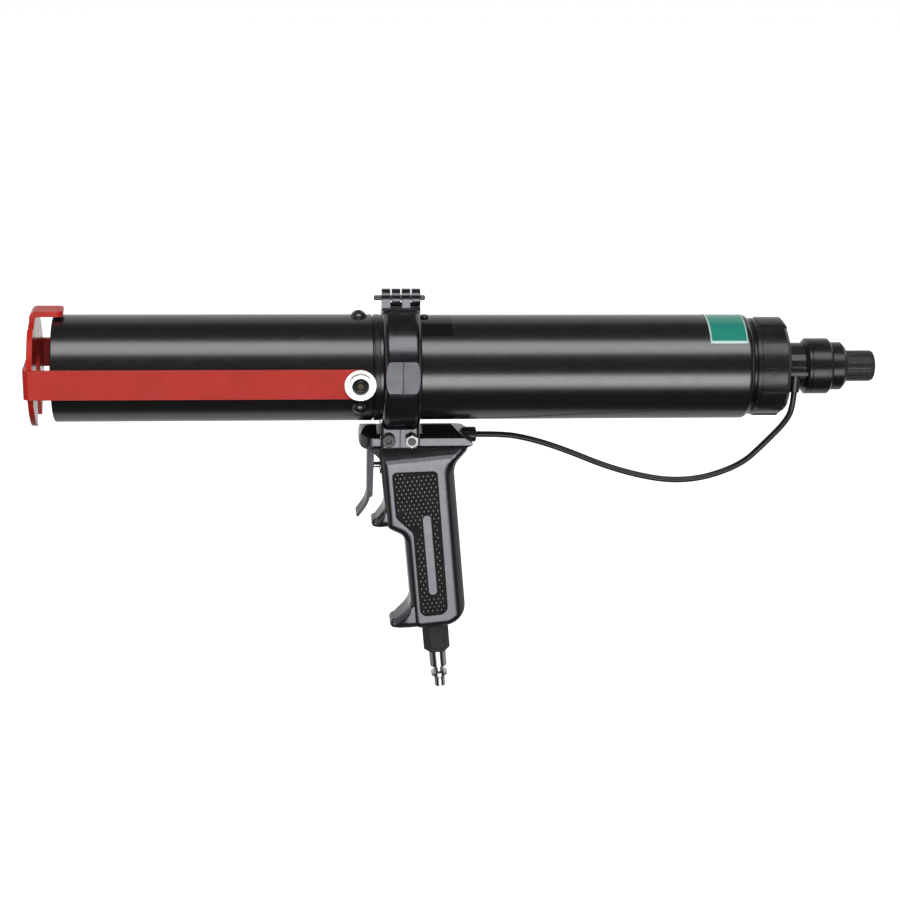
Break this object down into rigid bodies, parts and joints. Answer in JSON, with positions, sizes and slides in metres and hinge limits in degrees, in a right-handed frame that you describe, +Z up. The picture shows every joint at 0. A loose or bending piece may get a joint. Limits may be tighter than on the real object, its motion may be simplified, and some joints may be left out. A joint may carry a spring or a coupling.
{
  "type": "pneumatic caulking gun",
  "caption": "Air-powered caulking gun: a cartridge barrel with a hinged front retainer, an air cylinder with a plunger, a clamp-on pistol grip with a valve trigger, and a pressure regulator.",
  "frame": {"origin": "on the barrel's axis, at the seat where the cartridge chamber ends", "axes": "+X along the barrel towards the regulator at the rear, +Z up away from the grip, -Y towards the side that carries the hose"},
  "size_m": [0.5595, 0.087, 0.2846],
  "materials": {
    "barrel_black": "satin black anodised tube",
    "cylinder_black": "satin black anodised tube",
    "cap_black": "black moulded plastic",
    "handle_black": "satin black moulded grip",
    "clamp_black": "gloss black casting",
    "hose_black": "black polyurethane hose",
    "seal_rubber": "black rubber",
    "screw_black": "black oxide steel",
    "steel": "plain steel",
    "trigger_steel": "grey pressed steel",
    "bush_zinc": "bright zinc bush",
    "bush_brass": "turned brass",
    "aluminium": "turned aluminium",
    "rod_chrome": "hard chromed rod",
    "plug_chrome": "bright nickel plating",
    "retainer_red": "red powder coat"
  },
  "bodies": {
    "gun_body": {"cartridge_tube": "barrel_black", "front_cap": "cap_black", "front_cap_seal": "seal_rubber", "rod_bush": "bush_brass", "rod_seal": "seal_rubber", "tube_screws": "screw_black", "pivot_bushes": "bush_zinc", "pivot_screws": "screw_black", "air_cylinder": "cylinder_black", "breather_plug": "cap_black", "rear_cap": "cap_black", "rear_cap_seal": "seal_rubber", "regulator_body": "cap_black", "regulator_lock_ring": "cap_black", "regulator_collar": "cap_black", "regulator_diaphragm": "seal_rubber", "regulator_bonnet": "cap_black", "regulator_spring": "steel", "regulator_fitting": "cap_black", "clamp_half_near": "clamp_black", "clamp_half_far": "clamp_black", "clamp_hinge_pin": "screw_black", "clamp_bolts": "screw_black", "clamp_nuts": "steel", "handle": "handle_black", "trigger_pin": "steel", "valve_body": "bush_brass", "valve_seals": "seal_rubber", "valve_spring": "steel", "outlet_fitting": "cap_black", "inlet_seal": "seal_rubber", "inlet_bushing": "clamp_black", "air_plug": "plug_chrome", "air_hose": "hose_black"},
    "plunger": {"piston": "aluminium", "piston_seal": "seal_rubber", "piston_rod": "rod_chrome", "piston_nut": "steel", "thrust_disc": "aluminium", "disc_nut": "steel"},
    "retainer": {"retainer_arms": "retainer_red", "retainer_plate": "retainer_red"},
    "trigger": {"trigger": "trigger_steel"},
    "valve_stem": {"valve_stem": "steel", "stem_seal": "seal_rubber"},
    "knob": {"regulator_knob": "cap_black", "adjusting_screw": "steel"},
    "spring_plate": {"spring_plate": "aluminium"}
  },
  "joints": [
    {"name": "retainer_swing", "type": "hinge", "parent": "gun_body", "child": "retainer", "pos_m": [0.007, 0, 0], "axis": [0, 1, 0], "range_deg": [0, 100]},
    {"name": "plunger_stroke", "type": "slide", "parent": "gun_body", "child": "plunger", "axis": [-1, 0, 0], "range_m": [0, 0.189]},
    {"name": "trigger_pull", "type": "hinge", "parent": "gun_body", "child": "trigger", "pos_m": [0.0146, 0, -0.0511], "axis": [0, -1, 0], "range_deg": [0, 8], "stiffness_Nm_per_rad": 0.5, "springref_deg": -11.46},
    {"name": "valve_stem_press", "type": "slide", "parent": "gun_body", "child": "valve_stem", "axis": [1, 0, 0], "range_m": [0, 0.0024], "deforming": ["valve_spring"]},
    {"name": "regulator_knob_turn", "type": "hinge", "parent": "gun_body", "child": "knob", "pos_m": [0.34, 0, 0], "axis": [1, 0, 0], "range_deg": [0, 720]},
    {"name": "spring_plate_shift", "type": "slide", "parent": "gun_body", "child": "spring_plate", "axis": [-1, 0, 0], "range_m": [0, 0.003], "deforming": ["regulator_spring"]}
  ],
  "couplings": [
    {"joint": "valve_stem_press", "follows": "trigger_pull", "m_per_rad": 0.017},
    {"joint": "spring_plate_shift", "follows": "regulator_knob_turn", "m_per_rad": 0.00023873}
  ]
}
